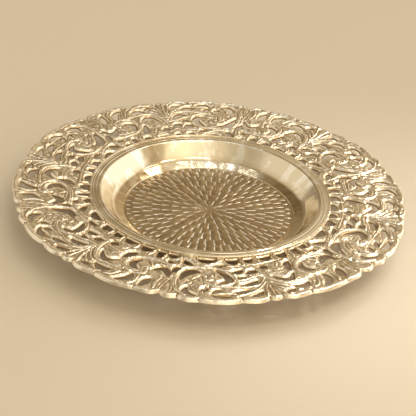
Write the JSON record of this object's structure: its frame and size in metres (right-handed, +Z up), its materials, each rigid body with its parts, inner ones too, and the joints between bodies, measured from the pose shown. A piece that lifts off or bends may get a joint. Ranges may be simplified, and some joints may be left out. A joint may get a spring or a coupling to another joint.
{
  "type": "platter",
  "caption": "Round silver-coloured dish with a chased medallion, a level flange and a broad, scalloped openwork border of cast scrolls, on a low foot ring.",
  "frame": {"origin": "middle of the plane that the foot ring stands on", "axes": "+Z up out of the bowl, +X to the right and +Y away in the picture's view"},
  "size_m": [0.301, 0.303, 0.0259],
  "materials": {
    "dish_silver": "polished warm silver plate, hand-worn, with a satin chased medallion",
    "wire_silver": "polished warm silver wire",
    "foot_silver": "satin warm silver plate, lightly scratched",
    "border_silver": "cast warm silver plate, bright on the crowns and tarnished in the recesses"
  },
  "bodies": {
    "root": {"centre_dish": "dish_silver", "flange_wire": "wire_silver", "foot_ring": "foot_silver", "border_section_1": "border_silver", "border_section_2": "border_silver", "border_section_3": "border_silver", "border_section_4": "border_silver", "border_section_5": "border_silver", "border_section_6": "border_silver"}
  },
  "joints": []
}
